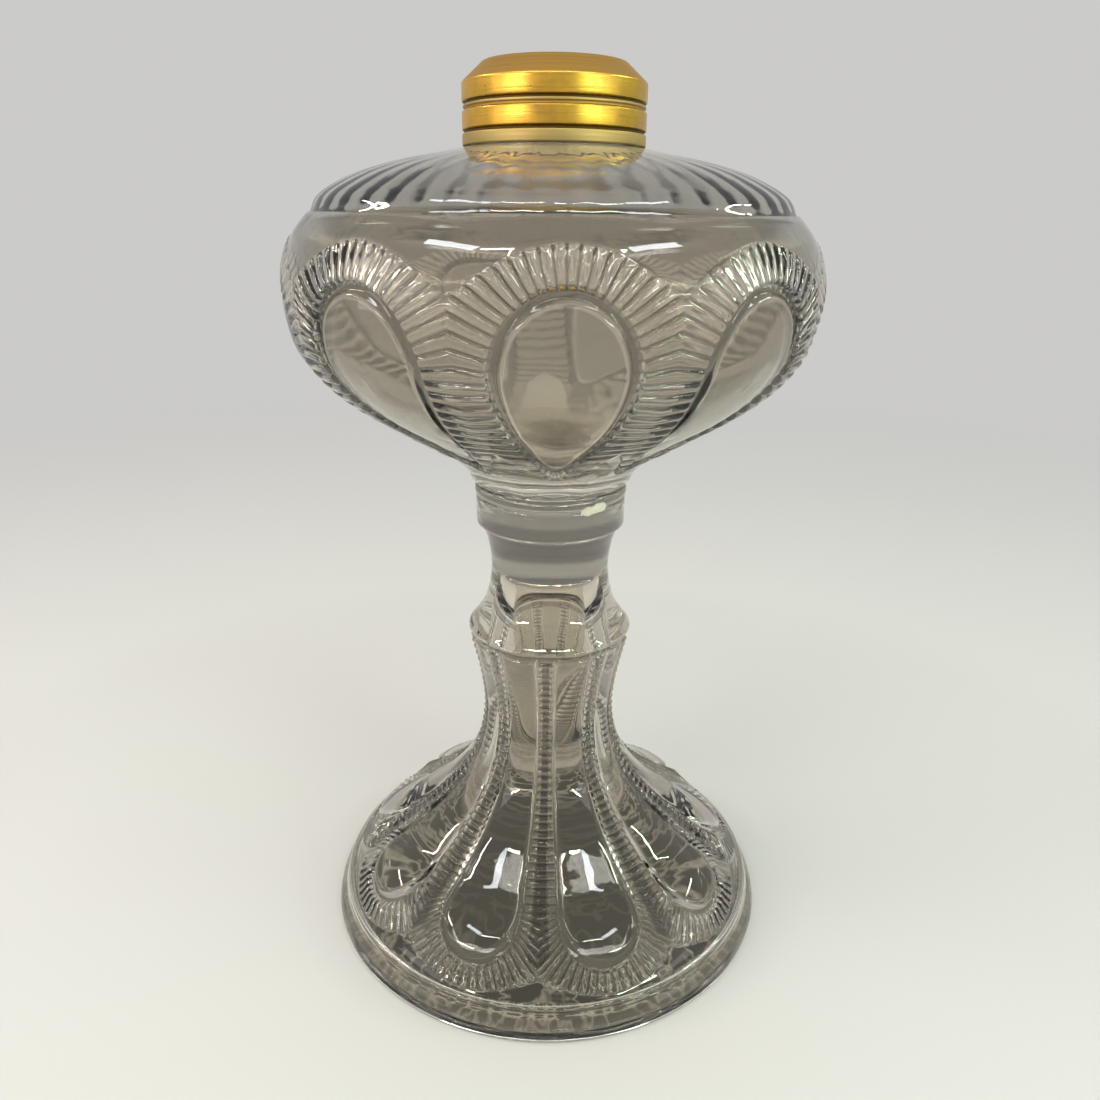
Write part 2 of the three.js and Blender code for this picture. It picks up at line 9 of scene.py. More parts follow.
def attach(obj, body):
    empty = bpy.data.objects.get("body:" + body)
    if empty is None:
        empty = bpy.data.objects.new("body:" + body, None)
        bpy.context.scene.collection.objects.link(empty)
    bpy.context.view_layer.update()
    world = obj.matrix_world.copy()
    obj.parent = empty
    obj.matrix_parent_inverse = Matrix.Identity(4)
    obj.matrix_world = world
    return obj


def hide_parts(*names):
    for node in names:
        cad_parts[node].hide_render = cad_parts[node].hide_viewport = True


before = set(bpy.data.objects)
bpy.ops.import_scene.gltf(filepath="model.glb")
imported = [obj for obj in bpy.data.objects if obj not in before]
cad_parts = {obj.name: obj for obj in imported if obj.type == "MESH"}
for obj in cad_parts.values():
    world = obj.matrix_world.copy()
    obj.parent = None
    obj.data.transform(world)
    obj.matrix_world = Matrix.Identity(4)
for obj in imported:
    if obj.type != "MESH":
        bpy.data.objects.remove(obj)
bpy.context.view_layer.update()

# A pressed-glass oil lamp, dressed round its CAD solids. Sizes are in millimetres, as in the CAD, and
# become metres when a mesh is made. Azimuth 0 faces -Y and grows towards +X, in degrees. Relief is the
# distance from a piece's outline, outwards. A tone darkens or lightens the glass's colour, mostly as
# painted
# shade and painted highlights: -1 paints the brightest highlights, on crests, 0 is plain glass, 1 or
# more paints the darkest shade, in the valleys.
MM = 0.001
GAP = 0.3  # between neighbouring pieces, as in the CAD
MERGE = 0.003  # points of a mesh that are closer than this become one

# Heights
PEDESTAL_TOP = 129.6
WAFER_BASE = PEDESTAL_TOP + GAP
WAFER_TOP = WAFER_BASE + 3.1
FONT_BASE = WAFER_TOP + GAP
BOWL_HEIGHT = 83.3
BOWL_TOP = FONT_BASE + BOWL_HEIGHT
COLLAR_BASE = BOWL_TOP + GAP
COLLAR_HEIGHT = 18.1
COLLAR_TOP = COLLAR_BASE + COLLAR_HEIGHT
NECK_TOP = BOWL_TOP + 11.6

# Radii at the collar
THREAD_CREST = 15.2
THREAD_DEPTH = 0.75
THREAD_PITCH = 2.4
SLEEVE_RADIUS = 16.5
NECK_BORE = 17.7
NECK_RADIUS = 19.9
SHELL_BORE = 21.25
COLLAR_RADIUS = 22.2

# Pattern: nine loops round the font and nine round the foot
LOOPS = 9
HALF_LOOP = 180 / LOOPS
FONT_TURN = 2.3  # azimuth of the middle of the font's first loop
FOOT_TURN = 17.7  # azimuth of the middle of the foot's first loop
RIB_STEPS = 10  # steps across one rib
# Rows of a rib, as shares of the way from its inner end to its outer end
RIB_ROWS = np.concatenate([[0.04, 0.09, 0.15], np.linspace(0.25, 0.8, 7), [0.86, 0.9, 0.94, 0.97, 1]])


def smooth(low, high, value):
    t = np.clip((value - low) / (high - low), 0, 1)
    return t * t * (3 - 2 * t)


def mix(a, b, share):
    return a + (b - a) * share


def window(first_edge, second_edge, value):
    """1 between two soft edges, each a pair of values: where it is still 0 and where it is 1."""
    return smooth(*first_edge, value) * smooth(*second_edge, value)


def outline(points):
    """Radius against height through a few (height, radius) points, as in the CAD."""
    z, r = np.array(points, float).T
    before = np.maximum(np.arange(len(z)) - 1, 0)
    after = np.minimum(np.arange(len(z)) + 1, len(z) - 1)
    slope = (r[after] - r[before]) / (z[after] - z[before])

    def radius(height):
        height = np.asarray(height, float)
        i = np.clip(np.searchsorted(z, height, side="right") - 1, 0, len(z) - 2)
        span = z[i + 1] - z[i]
        t = np.clip((height - z[i]) / span, 0, 1)
        bend = t * (1 - t) * span
        return mix(r[i], r[i + 1], t * t * (3 - 2 * t)) + bend * (slope[i] * (1 - t) - slope[i + 1] * t)

    return radius


def between(start, end, shares):
    """Outline points at shares of the way from one (height, radius) to another."""
    return [(mix(start[0], end[0], up), mix(start[1], end[1], out)) for up, out in shares]


def spin(radius, azimuth, height):
    """Points from radius, azimuth and height, which broadcast."""
    radius, azimuth, height = np.broadcast_arrays(radius, azimuth, height)
    turn = np.radians(azimuth)
    return np.stack([radius * np.sin(turn), -radius * np.cos(turn), height], axis=-1)


def on_outline(radius, azimuth, height, relief):
    """Points on an outline, moved out along its normal by relief."""
    step = 0.08
    lean = (radius(height + step) - radius(height - step)) / (2 * step)
    length = np.hypot(1, lean)
    return spin(radius(height) + relief / length, azimuth, height - relief * lean / length)


def along(radius, start, end, shares):
    """Heights at shares of the way along an outline, measured on its surface."""
    z = np.linspace(start, end, 400)
    step = np.hypot(np.diff(z), np.diff(radius(z)))
    reach = np.concatenate([[0], np.cumsum(step)])
    return np.interp(np.asarray(shares) * reach[-1], reach, z)


def arch(share):
    """1 in the middle of a loop and 0 at its sides, for shares from -1 to 1 across it."""
    return np.cos(np.radians(90 * share))


def rib(place):
    """1 on the crest of a rounded rib and 0 in the sharp valley beside it, for a place in ribs."""
    across = 2 * (place - np.floor(place)) - 1
    return 1 - np.abs(across) ** 3


def stacked(rows):
    """Rows of (height, relief, tone) or more as one array of each."""
    return [np.array(column) for column in zip(*rows)]


class Shell:
    """Grids of points that are joined into one mesh."""

    def __init__(self):
        self.points, self.quads, self.slots, self.tones, self.count = [], [], [], [], 0

    def grid(self, points, slot=0, tone=0.0):
        rows, columns = points.shape[:2]
        index = np.arange(rows * columns).reshape(rows, columns) + self.count
        corners = [index[:-1, :-1], index[:-1, 1:], index[1:, 1:], index[1:, :-1]]
        quads = np.stack(corners, axis=-1).reshape(-1, 4)
        self.points.append(points.reshape(-1, 3))
        self.quads.append(quads)
        self.slots.append(np.full(len(quads), slot))
        self.tones.append(np.broadcast_to(tone, (rows, columns)).reshape(-1))
        self.count += rows * columns

    def turned(self, profile, azimuths, slot=0, tone=0.0):
        """A surface of revolution over (radius, height) points."""
        profile = np.array(profile, float)
        self.grid(spin(profile[:, :1], azimuths[None, :], profile[:, 1:]), slot, tone)

    def loops(self, middle_turn, azimuth, place, tone):
        """The same patch in each loop. place gives its points at the azimuths of one loop."""
        for loop in range(LOOPS):
            self.grid(place(azimuth + middle_turn + 2 * HALF_LOOP * loop), tone=tone)

    def carved(self, middle_turn, azimuth, radius, height, relief, tone):
        """A patch on an outline, moved out by relief, in each loop."""
        self.loops(middle_turn, azimuth, lambda turned: on_outline(radius, turned, height, relief), tone)

    def build(self, name, finishes):
        mesh = bpy.data.meshes.new(name)
        points = np.concatenate(self.points) * MM
        mesh.from_pydata(points.tolist(), [], np.concatenate(self.quads).tolist())
        mesh.polygons.foreach_set("material_index", np.concatenate(self.slots).astype(np.int32))
        # The tones, which paint shade and highlights into the glass's colour, are kept as an attribute
        # of the points
        shade_and_highlight = mesh.attributes.new("shade_and_highlight", "FLOAT", "POINT")
        shade_and_highlight.data.foreach_set("value", np.concatenate(self.tones).astype(np.float32))
        work = bmesh.new()
        work.from_mesh(mesh)
        bmesh.ops.remove_doubles(work, verts=work.verts, dist=MERGE * MM)
        bmesh.ops.dissolve_degenerate(work, edges=work.edges, dist=MERGE * MM * 0.1)
        bmesh.ops.recalc_face_normals(work, faces=work.faces)
        for face in work.faces:
            face.smooth = True
        work.to_mesh(mesh)
        work.free()
        piece = bpy.data.objects.new(name, mesh)
        bpy.context.scene.collection.objects.link(piece)
        for finish in finishes:
            mesh.materials.append(finish)
        return piece


def loop_ring(azimuth, middle_turn):
    """The azimuths of one loop's columns, repeated round the whole piece."""
    ring = np.concatenate([azimuth[:-1] + middle_turn + 2 * HALF_LOOP * loop for loop in range(LOOPS)])
    return np.append(ring, ring[0] + 360)


def loop_values(row):
    """One loop's row of values, repeated round the whole piece."""
    ring = np.tile(row[:-1], LOOPS)
    return np.append(ring, ring[0])


# Font: each loop is a raised drop in a channel, with ribs all round. Widths in a loop are in degrees.
FONT_ROOT, BELLY = 21.3, 67.45  # radii
FONT_WALL = 4
LOOP_MIDDLE = FONT_BASE + 36.7
JUNCTION = FONT_BASE + 54.5  # above it the heads of two loops part
COLUMN_FOOT = FONT_BASE + 16.5  # below it their tails part
SHOULDER = FONT_BASE + 68.7
HEAD_RISE, TAIL_DROP = 9.5, 9.8
LOW_RIBS, HIGH_RIBS, HEAD_RIBS, TAIL_RIBS = 9, 5, 16, 10
LOW_CORNER, HIGH_CORNER = 45, 37.5  # directions of the corners, from the level line through the middle
FONT_DROP = (11.1, 16, 25.5)  # half width, reach above the middle, reach below it
FONT_CHANNEL = (14.2, 19.7, 28.7)

# Relief on the font
DROP_EDGE = -0.8
CHANNEL_FLOOR, CHANNEL_FLOOR_LOW = -1.7, -1.2
INNER_VALLEY, INNER_CREST = -1.1, -0.15  # at the ribs' inner ends
RIB_VALLEY = -1.0
BAND = -0.3
SHOULDER_STEP, DOME = -0.85, -0.05
FLUTE_DEPTH = 0.18
FLUTE_WIDTH = 8  # degrees

# Tones on the font: painted shade, and painted highlights where they are below 0
DROP_TONE, DROP_LINE = 0.52, -0.9
CHANNEL_EDGE, CHANNEL_TONE = 0.3, 0.9
HEAD_CREST, SIDE_CREST, CLOSED_END = -0.6, 0.42, 0.6
BAND_TONE, DOME_TONE, FLUTE_TONE, SHOULDER_TONE = 0.62, 0.36, 0.08, 0.4

# Rows of the dome, by height above the shoulder
DOME_ROWS = np.concatenate([[0.15, 0.4, 0.7, 1.05, 1.45, 1.9, 2.4, 3], np.linspace(3.7, 14.3, 21)])
FONT_FLOOR = [(17.7, 8.9), (12, 8.65), (6, 8.6), (0, 8.6)]  # radius, height above the font's base

# The inside follows the loops between two soft edges, and is slightly uneven above a third
INSIDE_WAVE, INSIDE_RIPPLES = 0.35, (0.07, 0.04)
WAVE_LOW, WAVE_HIGH, RIPPLE_LOW = (146, 162), (197, 186), (142, 150)


def font_outline():
    shares = [
        (0, 0), (0.056, 0.056), (0.1, 0.15), (0.15, 0.3), (0.2, 0.443), (0.27, 0.643), (0.345, 0.806),
        (0.43, 0.927), (0.515, 0.978), (0.61, 1), (0.695, 0.976), (0.765, 0.922), (0.825, 0.835),
        (0.885, 0.73), (0.945, 0.48),
    ]
    points = between((FONT_BASE, FONT_ROOT), (BOWL_TOP, BELLY), shares)
    return outline(points + [(BOWL_TOP, COLLAR_RADIUS)])


def head_arch(azimuth):
    return JUNCTION + HEAD_RISE * arch(azimuth / HALF_LOOP)


def tail_arch(azimuth):
    return COLUMN_FOOT - TAIL_DROP * arch(azimuth / HALF_LOOP)


def font_oval(size, cosine, sine):
    """Azimuth and height round a drop or a channel."""
    wide, above, below = size
    return wide * cosine, LOOP_MIDDLE + np.where(sine > 0, above, below) * sine


def font_rim(radius):
    """Samples round a loop's rim: direction, outer azimuth and height, rib place, share of a free rib
    end, and the ribs' strength."""
    total = LOW_RIBS + HIGH_RIBS
    side = np.arange(total * RIB_STEPS) / RIB_STEPS

    def column(place):
        low = np.clip(place / LOW_RIBS, 0, 1)
        high = np.clip((place - LOW_RIBS) / HIGH_RIBS, 0, 1)
        z_low = along(radius, COLUMN_FOOT, LOOP_MIDDLE, low)
        z_high = along(radius, LOOP_MIDDLE, JUNCTION, high)
        turn = LOW_CORNER * (low - 1) + HIGH_CORNER * high
        free = np.maximum(smooth(1, 0, place), smooth(total - 1, total, place))
        return turn, np.where(place < LOW_RIBS, z_low, z_high), free

    right_turn, right_z, right_free = column(side)
    reverse = total - side
    left_turn, left_z, left_free = column(reverse)
    head = 1 - 2 * np.arange(HEAD_RIBS * RIB_STEPS) / (HEAD_RIBS * RIB_STEPS)
    tail = 2 * np.arange(TAIL_RIBS * RIB_STEPS) / (TAIL_RIBS * RIB_STEPS) - 1
    head_turn, tail_turn = 90 - (90 - HIGH_CORNER) * head, 270 + (90 - LOW_CORNER) * tail
    direction = np.concatenate([right_turn, head_turn, 180 - left_turn, tail_turn])
    ones = np.ones_like(side)
    azimuth = HALF_LOOP * np.concatenate([ones, head, -ones, tail])
    height = np.concatenate([right_z, head_arch(HALF_LOOP * head), left_z, tail_arch(HALF_LOOP * tail)])
    place = np.concatenate([side, (1 - head) * HEAD_RIBS / 2, reverse, (1 + tail) * TAIL_RIBS / 2])
    free_end = np.concatenate([right_free, np.ones_like(head), left_free, np.ones_like(tail)])
    strength = np.concatenate([ones, np.ones_like(head), ones, 0.3 + 0.7 * np.abs(tail)])
    samples = [direction, azimuth, height, place, free_end, strength]
    return [np.append(s, s[0]) for s in samples]


def font_loop(radius):
    """One loop: azimuths, heights, relief and tones."""
    direction, azimuth, height, place, free_end, strength = font_rim(radius)
    cosine, sine = np.cos(np.radians(direction)), np.sin(np.radians(direction))
    drop, channel = font_oval(FONT_DROP, cosine, sine), font_oval(FONT_CHANNEL, cosine, sine)
    ribs = rib(place)
    flat = np.zeros_like(ribs)
    low_side = smooth(0.9, 0.1, sine)  # the ribs over the loop's head get the brightest painted highlights
    inner_end = mix(INNER_VALLEY, INNER_CREST, ribs)
    rows = []
    for t in np.append(np.linspace(0, 1, 13)[:-1] ** 0.8, [0.962, 0.978, 1]):
        tone = mix(DROP_TONE, DROP_LINE, smooth(0.96, 0.98, t))  # a thin painted highlight round the drop, which is painted darker inside
        rows.append((drop[0] * t, mix(LOOP_MIDDLE, drop[1], t), DROP_EDGE * t * t + flat, tone + flat))
    for t in np.linspace(0, 1, 10)[1:]:
        deepest = mix(CHANNEL_FLOOR, CHANNEL_FLOOR_LOW, smooth(0.1, -0.5, sine))
        floor = mix(DROP_EDGE, deepest, smooth(0, 0.48, t))
        relief = mix(floor, inner_end, smooth(0.74, 1, t))
        tone = mix(mix(CHANNEL_EDGE, CHANNEL_TONE, smooth(0, 0.3, t)), 1 - ribs, smooth(0.7, 1, t))
        rows.append((mix(drop[0], channel[0], t), mix(drop[1], channel[1], t), relief, tone))
    for t in RIB_ROWS:
        crest = mix(INNER_CREST, 0, smooth(0, 0.12, t))
        closing = free_end * smooth(0.86, 1, t)
        valley = RIB_VALLEY * strength * (1 - closing)
        relief = mix(np.minimum(valley, crest), crest, ribs) * (1 - closing) + BAND * closing
        crest_tone = mix(HEAD_CREST, SIDE_CREST, low_side)
        tone = mix(mix(crest_tone, 1, (1 - ribs) * strength), CLOSED_END, closing)
        rows.append((mix(channel[0], azimuth, t), mix(channel[1], height, t), relief, tone))
    return stacked(rows)


def font_dome(azimuth):
    """The plain band over the fringes, then the fluted dome: heights, relief and tones."""
    flat = 0 * azimuth
    rows = []
    for t in np.linspace(0, 1, 9):
        rows.append((mix(head_arch(azimuth), SHOULDER, t), BAND + flat, BAND_TONE + flat))
    across = np.abs(2 * ((azimuth / FLUTE_WIDTH) % 1) - 1)  # 0 on a flute's crest and 1 in its valley
    for up in DOME_ROWS:
        low_end = smooth(-0.5, 3.2, up - 0.25 * across**2)
        high_end = smooth(13.4, 11.2, up + 1.3 * across**2)
        round_valley = 0.5 - 0.5 * np.cos(np.pi * across)
        valley = FLUTE_DEPTH * round_valley * smooth(0.8, 5, up) * high_end
        tone = DOME_TONE + FLUTE_TONE * round_valley * low_end * high_end
        tone = tone + SHOULDER_TONE * smooth(0.9, 0.1, up)
        rows.append((SHOULDER + up + flat, mix(SHOULDER_STEP, DOME, low_end) - valley, tone))
    return stacked(rows)


def font_root(azimuth):
    """Plain glass under the loops, with a wavy lower edge: heights, relief and tones."""
    wavy = FONT_BASE + 0.75 + 0.55 * np.abs(np.sin(np.radians(9 * azimuth)))
    rows = []
    for t in np.concatenate([np.linspace(0, 0.72, 12), np.linspace(0.76, 1, 12)]):
        z = mix(tail_arch(azimuth), FONT_BASE, t)
        under = smooth(wavy + 0.35, wavy - 0.25, z)
        rows.append((z, BAND * smooth(1, 0.3, t) - 0.5 * under, 0.9 * under))
    return stacked(rows)


def font_inside(radius, ring):
    """The bowl's wall, slightly uneven and following the loops, and its floor."""
    columns = ring[None, :]
    shares = np.concatenate([[0.965, 0.93], np.linspace(0.89, 0.13, 44)])
    z = (FONT_BASE + BOWL_HEIGHT * shares)[:, None]
    wave = INSIDE_WAVE * np.cos(np.radians(LOOPS * (columns - FONT_TURN)))
    wave = wave * window(WAVE_LOW, WAVE_HIGH, z)
    broad, narrow = INSIDE_RIPPLES
    ripple = broad * np.sin(np.radians(3 * columns) + z / 9)
    ripple = ripple + narrow * np.sin(np.radians(7 * columns) - z / 5)
    wall = on_outline(radius, columns, z, -FONT_WALL + wave + ripple * smooth(*RIPPLE_LOW, z))
    floor = np.stack([spin(r, ring, FONT_BASE + h) for r, h in FONT_FLOOR])
    return np.concatenate([spin(NECK_BORE, columns, BOWL_TOP), wall, floor])


def make_font(glass, fused, hazed):
    radius = font_outline()
    shell = Shell()
    azimuth, height, relief, tone = font_loop(radius)
    shell.carved(FONT_TURN, azimuth, radius, height, relief, tone)
    top = HALF_LOOP * np.linspace(-1, 1, HEAD_RIBS * RIB_STEPS + 1)
    height, relief, tone = font_dome(top)
    shell.carved(FONT_TURN, top[None, :], radius, height, relief, tone)

    # Neck and inside share the columns of the dome's rim
    ring = loop_ring(top, FONT_TURN)
    rim = on_outline(radius, ring, SHOULDER + DOME_ROWS[-1] + 0 * ring, loop_values(relief[-1]))
    shell.grid(np.stack([rim, spin(COLLAR_RADIUS, ring, BOWL_TOP)]))
    neck = [(COLLAR_RADIUS, BOWL_TOP), (NECK_RADIUS, BOWL_TOP), (NECK_RADIUS, NECK_TOP)]
    neck += [(NECK_BORE, NECK_TOP), (NECK_BORE, BOWL_TOP)]
    shell.turned(neck, ring)
    shell.grid(font_inside(radius, ring), 2)

    # Root, and the face that is fused to the wafer
    low = HALF_LOOP * np.linspace(-1, 1, TAIL_RIBS * RIB_STEPS + 1)
    height, relief, tone = font_root(low)
    shell.carved(FONT_TURN, low[None, :], radius, height, relief, tone)
    ring = loop_ring(low, FONT_TURN)
    edge = on_outline(radius, ring, FONT_BASE + 0 * ring, loop_values(relief[-1]))
    shell.grid(np.stack([edge, spin(0 * ring, ring, FONT_BASE)]), 1)
    return shell.build("font", [glass, fused, hazed])


# Pedestal: petals run down the skirt from the cove to round ends, with ribbed columns between them
FOOT_RADIUS = 66
FOOT_WALL = 4.4
SKIRT_LOW, WAIST = (7.6, 62.7), (64, 19.2)  # height, radius
SKIRT_TOP, COVE_RADIUS = 87, 22.9
KNOP, STEM, STEM_TOP = (90, 23.6), (109, 16.6), (121.4, 19.3)
CAP_BASE = 121.2
CAP_RADIUS = 20.2
BALL = 24  # height of the middle of the petals' round ends
SCALLOP, SCALLOP_DROP = 13.3, 4.1  # the fringes' lower edge between two petals, and its drop under one
RIM_TOP = 8.4
RUNGS, FLANK_RIBS, END_RIBS, FOOT_CORNER = 34, 6, 8, 30
FOOT_DROP, FOOT_CHANNEL = (12.2, 8.7), (14.8, 11)  # half width in degrees, reach below the ball

# Relief on the foot
PETAL_EDGE = -0.8
FOOT_CHANNEL_FLOOR = -1.9
FOOT_INNER_VALLEY, FOOT_INNER_CREST = -0.95, -0.2
BEAD = 0.22
COLUMN_SUNK = 0.5
FOOT_VALLEY, COLUMN_VALLEY = 0.85, 1.25
SKIRT_PLAIN = -0.45
SWELL, SWELL_LOW, SWELL_HIGH = 2.6, (9.2, 17), (27, 17)  # the petals' round ends bulge out
SLIM_RELIEF, FULL_RADIUS = 0.45, 46  # relief shrinks towards a share of itself below this radius

# Tones on the foot: painted shade, and painted highlights where they are below 0
PETAL_TONE, PETAL_LINE = 0.5, -0.6
FOOT_CHANNEL_TONE = -0.5
BEAD_TONE, COLUMN_CREST, FRINGE_CREST, FRINGE_END = -0.9, 0.77, -0.6, -0.8
SKIRT_TONE, RIM_TONE = 0.75, -0.9
CAP_TONE = 0.15
# Dark bands: tone, and the soft edges of their heights. The crease and the band under the rim's bead
# are painted shade, and so is the dip under the knop; the solid stem is darker as thick glass, and a
# band round the cap is darker too.
CREASE, UNDER_BEAD = (1.8, (7.55, 7.2), (6.7, 6.9)), (1.5, (6.2, 5.6), (1.2, 3.2))
SOLID_STEM, COVE = (0.86, (107.4, 109.4), (121.1, 120.3)), (0.85, (87.2, 87.9), (89.8, 89.1))
CAP_BAND = (0.65, (121.4, 122.3), (126.1, 124.7))

# Rows of the cove: height, dip, share of the skirt's relief
COVE_ROWS = [
    (87.0, 0, 1), (87.5, -0.45, 0.9), (88.0, -0.6, 0.8), (88.8, -0.55, 0.7), (89.4, -0.4, 0.6),
    (89.9, -0.12, 0.3), (90.3, 0, 0),
]
STEM_ROWS = np.concatenate([np.linspace(90.9, 109, 34), np.linspace(109.6, CAP_BASE, 24)])

# Profiles as (radius, height): the rim's bead, wall and rest ring, the top of the hollow, and the cap
RIM = [
    (62.05, 8.3), (62.45, 8.35), (62.85, 8.15), (63.05, 7.8), (63.0, 7.4), (62.8, 7.15), (62.85, 6.95),
    (63.1, 6.8), (63.35, 6.55), (63.4, 6.25), (63.5, 6), (63.95, 5.4), (64.5, 4.6), (65.05, 3.6),
    (65.5, 2.6), (65.8, 1.7), (65.97, 0.9), (65.95, 0.35), (65.75, 0.08), (65.4, 0), (61.9, 0),
    (61.5, 0.15),
]
HOLLOW_TOP = [(8.9, 104.3), (8.6, 104.85), (8.1, 105.2), (7.4, 105.4), (3.5, 105.4), (0, 105.4)]
CAP = [
    (19.55, 121.35), (20.15, 121.5), (20.5, 121.8), (20.6, 122.3), (20.6, 123), (20.6, 123.7),
    (20.6, 124.4), (20.6, 125.1), (20.6, 125.8), (20.6, 126.5), (20.6, 127.6), (20.6, 128.8),
    (20.5, 129.3), (CAP_RADIUS, PEDESTAL_TOP),
]


def dark_band(band, height):
    tone, first_edge, second_edge = band
    return tone * window(first_edge, second_edge, height)


def skirt_outline():
    shares = [(0.07, 0.93), (0.22, 0.722), (0.36, 0.497), (0.5, 0.287), (0.64, 0.141), (0.79, 0.046)]
    top = (SKIRT_TOP, COVE_RADIUS)
    points = [(0, FOOT_RADIUS), (2, FOOT_RADIUS), SKIRT_LOW]
    points += between((SKIRT_LOW[0], WAIST[1]), (WAIST[0], SKIRT_LOW[1]), shares) + [WAIST]
    return outline(points + between(WAIST, top, [(0.5, 0.3)]) + [top])


def stem_outline():
    points = [(SKIRT_TOP, COVE_RADIUS), (88.4, COVE_RADIUS), KNOP]
    points += between((KNOP[0], STEM[1]), (STEM[0], KNOP[1]), [(0.13, 0.74), (0.35, 0.36), (0.65, 0.1)])
    return outline(points + [STEM] + between(STEM, STEM_TOP, [(0.6, 0.35)]) + [STEM_TOP])


def hollow_outline(radius):
    points = [(0.15, 61.5)]
    for share in (0.12, 0.24, 0.4, 0.58, 0.78):
        point = on_outline(radius, np.array(90.0), np.array(WAIST[0] * share), -FOOT_WALL)
        points.append((point[2], point[0]))
    return outline(points + [(WAIST[0], 14.8), (88.8, 11.6), (104, 9)])


def petal_half(radius):
    """Samples down a petal's right side and round its end: (azimuth, height) of drop, channel and outer
    edge, the middle's height, rib place and share of a free rib end."""
    down = np.arange(RUNGS * RIB_STEPS) / (RUNGS * RIB_STEPS)
    z = along(radius, SKIRT_TOP, BALL, down)
    flank = np.arange(FLANK_RIBS * RIB_STEPS) / (FLANK_RIBS * RIB_STEPS)
    end = np.arange(END_RIBS * RIB_STEPS + 1) / (END_RIBS * RIB_STEPS)
    bend = np.radians(np.append(FOOT_CORNER * flank, mix(FOOT_CORNER, 90, end)))
    ones = np.ones_like(z)

    def ball(size):
        wide, reach = size
        return np.append(wide * ones, wide * np.cos(bend)), np.append(z, BALL - reach * np.sin(bend))

    outer = (
        HALF_LOOP * np.concatenate([ones, np.ones_like(flank), 1 - end]),
        np.concatenate([z, mix(BALL, SCALLOP, flank), SCALLOP - SCALLOP_DROP * arch(1 - end)]),
    )
    middle = np.append(z, BALL * np.ones_like(bend))
    flank_place, end_place = RUNGS + flank * FLANK_RIBS, RUNGS + FLANK_RIBS + end * END_RIBS
    place = np.concatenate([down * RUNGS, flank_place, end_place])
    free = np.concatenate([0 * z, smooth(0.84, 1, flank), np.ones_like(end)])
    return ball(FOOT_DROP), ball(FOOT_CHANNEL), outer, middle, place, free


def petal(radius):
    """One half of a petal with its fringe: azimuths, heights, relief, place from 0 in the middle to 1
    at the outer edge, and tones."""
    drop, channel, outer, middle, place, free = petal_half(radius)
    ribs = rib(place)
    flat = np.zeros_like(ribs)
    inner_end = mix(FOOT_INNER_VALLEY, FOOT_INNER_CREST, ribs)
    rows = []
    for t in np.linspace(0, 1, 11):
        tone = mix(PETAL_TONE, PETAL_LINE, smooth(0.88, 0.96, t))
        z = mix(middle, drop[1], t)
        rows.append((drop[0] * t, z, PETAL_EDGE * t * t + flat, 0.4 * t + flat, tone + flat))
    for t in np.linspace(0, 1, 9)[1:]:
        floor = mix(PETAL_EDGE, FOOT_CHANNEL_FLOOR, smooth(0, 0.42, t))
        relief = mix(floor, inner_end, smooth(0.66, 1, t))
        tone = mix(FOOT_CHANNEL_TONE, 1 - ribs, smooth(0.6, 1, t))
        z = mix(drop[1], channel[1], t)
        rows.append((mix(drop[0], channel[0], t), z, relief, 0.4 + 0.4 * t + flat, tone))
    for t in RIB_ROWS:
        bead = BEAD * smooth(0.02, 0.12, t) * smooth(0.4, 0.2, t)
        sunk = COLUMN_SUNK * smooth(0.3, 0.55, t) * (1 - free)
        crest = mix(FOOT_INNER_CREST, bead, smooth(0, 0.14, t)) - sunk
        closing = free * smooth(0.86, 1, t)
        valley = -mix(FOOT_VALLEY, COLUMN_VALLEY, smooth(0.25, 0.6, t) * (1 - free))
        relief = mix(np.minimum(valley, crest), crest, ribs) * (1 - closing) + SKIRT_PLAIN * closing
        outer_tone = COLUMN_CREST * (1 - free) + FRINGE_CREST * free
        crest_tone = mix(BEAD_TONE, outer_tone, smooth(0.3, 0.6, t))
        tone = mix(mix(crest_tone, 1, (1 - ribs) ** 0.7), FRINGE_END, closing)
        z = mix(channel[1], outer[1], t)
        rows.append((mix(channel[0], outer[0], t), z, relief, 0.8 + 0.2 * t + flat, tone))
    return stacked(rows)


def skirt_relief(radius, height, relief, place):
    """Relief is shallower where the skirt is slim, and the petals' round ends bulge out."""
    strength = mix(SLIM_RELIEF, 1, np.minimum(radius(height) / FULL_RADIUS, 1))
    return strength * relief + SWELL * window(SWELL_LOW, SWELL_HIGH, height) * (1 - place**2)


def skirt_edge(radius, share):
    """Plain skirt under the fringes: heights, relief and tones."""
    scallop = SCALLOP - SCALLOP_DROP * arch(share)
    flat = 0 * scallop
    rows = []
    for t in np.linspace(0, 1, 8):
        z = mix(scallop, RIM_TOP, t)
        relief = skirt_relief(radius, z, SKIRT_PLAIN + flat, 1 + flat) - 0.25 * smooth(0.6, 1, t)
        rows.append((z, relief, mix(FRINGE_END, SKIRT_TONE, smooth(0, 0.15, t)) + flat))
    return stacked(rows)


